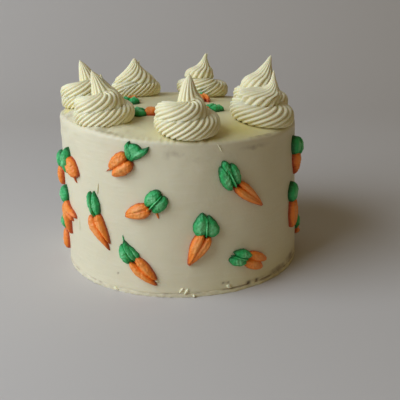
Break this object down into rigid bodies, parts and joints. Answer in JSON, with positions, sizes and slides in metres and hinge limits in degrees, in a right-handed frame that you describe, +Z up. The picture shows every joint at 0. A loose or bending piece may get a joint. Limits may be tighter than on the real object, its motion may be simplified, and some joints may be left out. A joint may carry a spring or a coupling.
{
  "type": "carrot cake",
  "caption": "Round frosted carrot cake with piped frosting swirls round its top edge and small piped carrots on its side and top.",
  "frame": {"origin": "centre of the flat bottom that the cake stands on", "axes": "+Z up, -Y towards the front, +X to the right seen from the front"},
  "size_m": [0.1643, 0.1643, 0.1341],
  "materials": {
    "body_frosting": "satin, smoothed cream cheese frosting",
    "swirl_frosting": "satin, piped frosting",
    "carrot_icing": "satin, orange piped icing",
    "leaf_icing": "satin, green piped icing"
  },
  "bodies": {
    "root": {"cake_body": "body_frosting", "swirl_1": "swirl_frosting", "swirl_2": "swirl_frosting", "swirl_3": "swirl_frosting", "swirl_4": "swirl_frosting", "swirl_5": "swirl_frosting", "swirl_6": "swirl_frosting", "swirl_7": "swirl_frosting", "side_root_01": "carrot_icing", "side_leaf_01": "leaf_icing", "side_root_02": "carrot_icing", "side_leaf_02": "leaf_icing", "side_root_03": "carrot_icing", "side_leaf_03": "leaf_icing", "side_root_04": "carrot_icing", "side_leaf_04": "leaf_icing", "side_root_05": "carrot_icing", "side_leaf_05": "leaf_icing", "side_root_06": "carrot_icing", "side_leaf_06": "leaf_icing", "side_root_07": "carrot_icing", "side_leaf_07": "leaf_icing", "side_root_08": "carrot_icing", "side_leaf_08": "leaf_icing", "side_root_09": "carrot_icing", "side_leaf_09": "leaf_icing", "side_root_10": "carrot_icing", "side_leaf_10": "leaf_icing", "side_root_11": "carrot_icing", "side_leaf_11": "leaf_icing", "side_root_12": "carrot_icing", "side_leaf_12": "leaf_icing", "side_root_13": "carrot_icing", "side_leaf_13": "leaf_icing", "side_root_14": "carrot_icing", "side_leaf_14": "leaf_icing", "side_root_15": "carrot_icing", "side_leaf_15": "leaf_icing", "side_root_16": "carrot_icing", "side_leaf_16": "leaf_icing", "side_root_17": "carrot_icing", "side_leaf_17": "leaf_icing", "side_root_18": "carrot_icing", "side_leaf_18": "leaf_icing", "side_root_19": "carrot_icing", "side_leaf_19": "leaf_icing", "side_root_20": "carrot_icing", "side_leaf_20": "leaf_icing", "side_root_21": "carrot_icing", "side_leaf_21": "leaf_icing", "side_root_22": "carrot_icing", "side_leaf_22": "leaf_icing", "top_root_01": "carrot_icing", "top_leaf_01": "leaf_icing", "top_root_02": "carrot_icing", "top_leaf_02": "leaf_icing", "top_root_03": "carrot_icing", "top_leaf_03": "leaf_icing", "top_root_04": "carrot_icing", "top_leaf_04": "leaf_icing"}
  },
  "joints": []
}
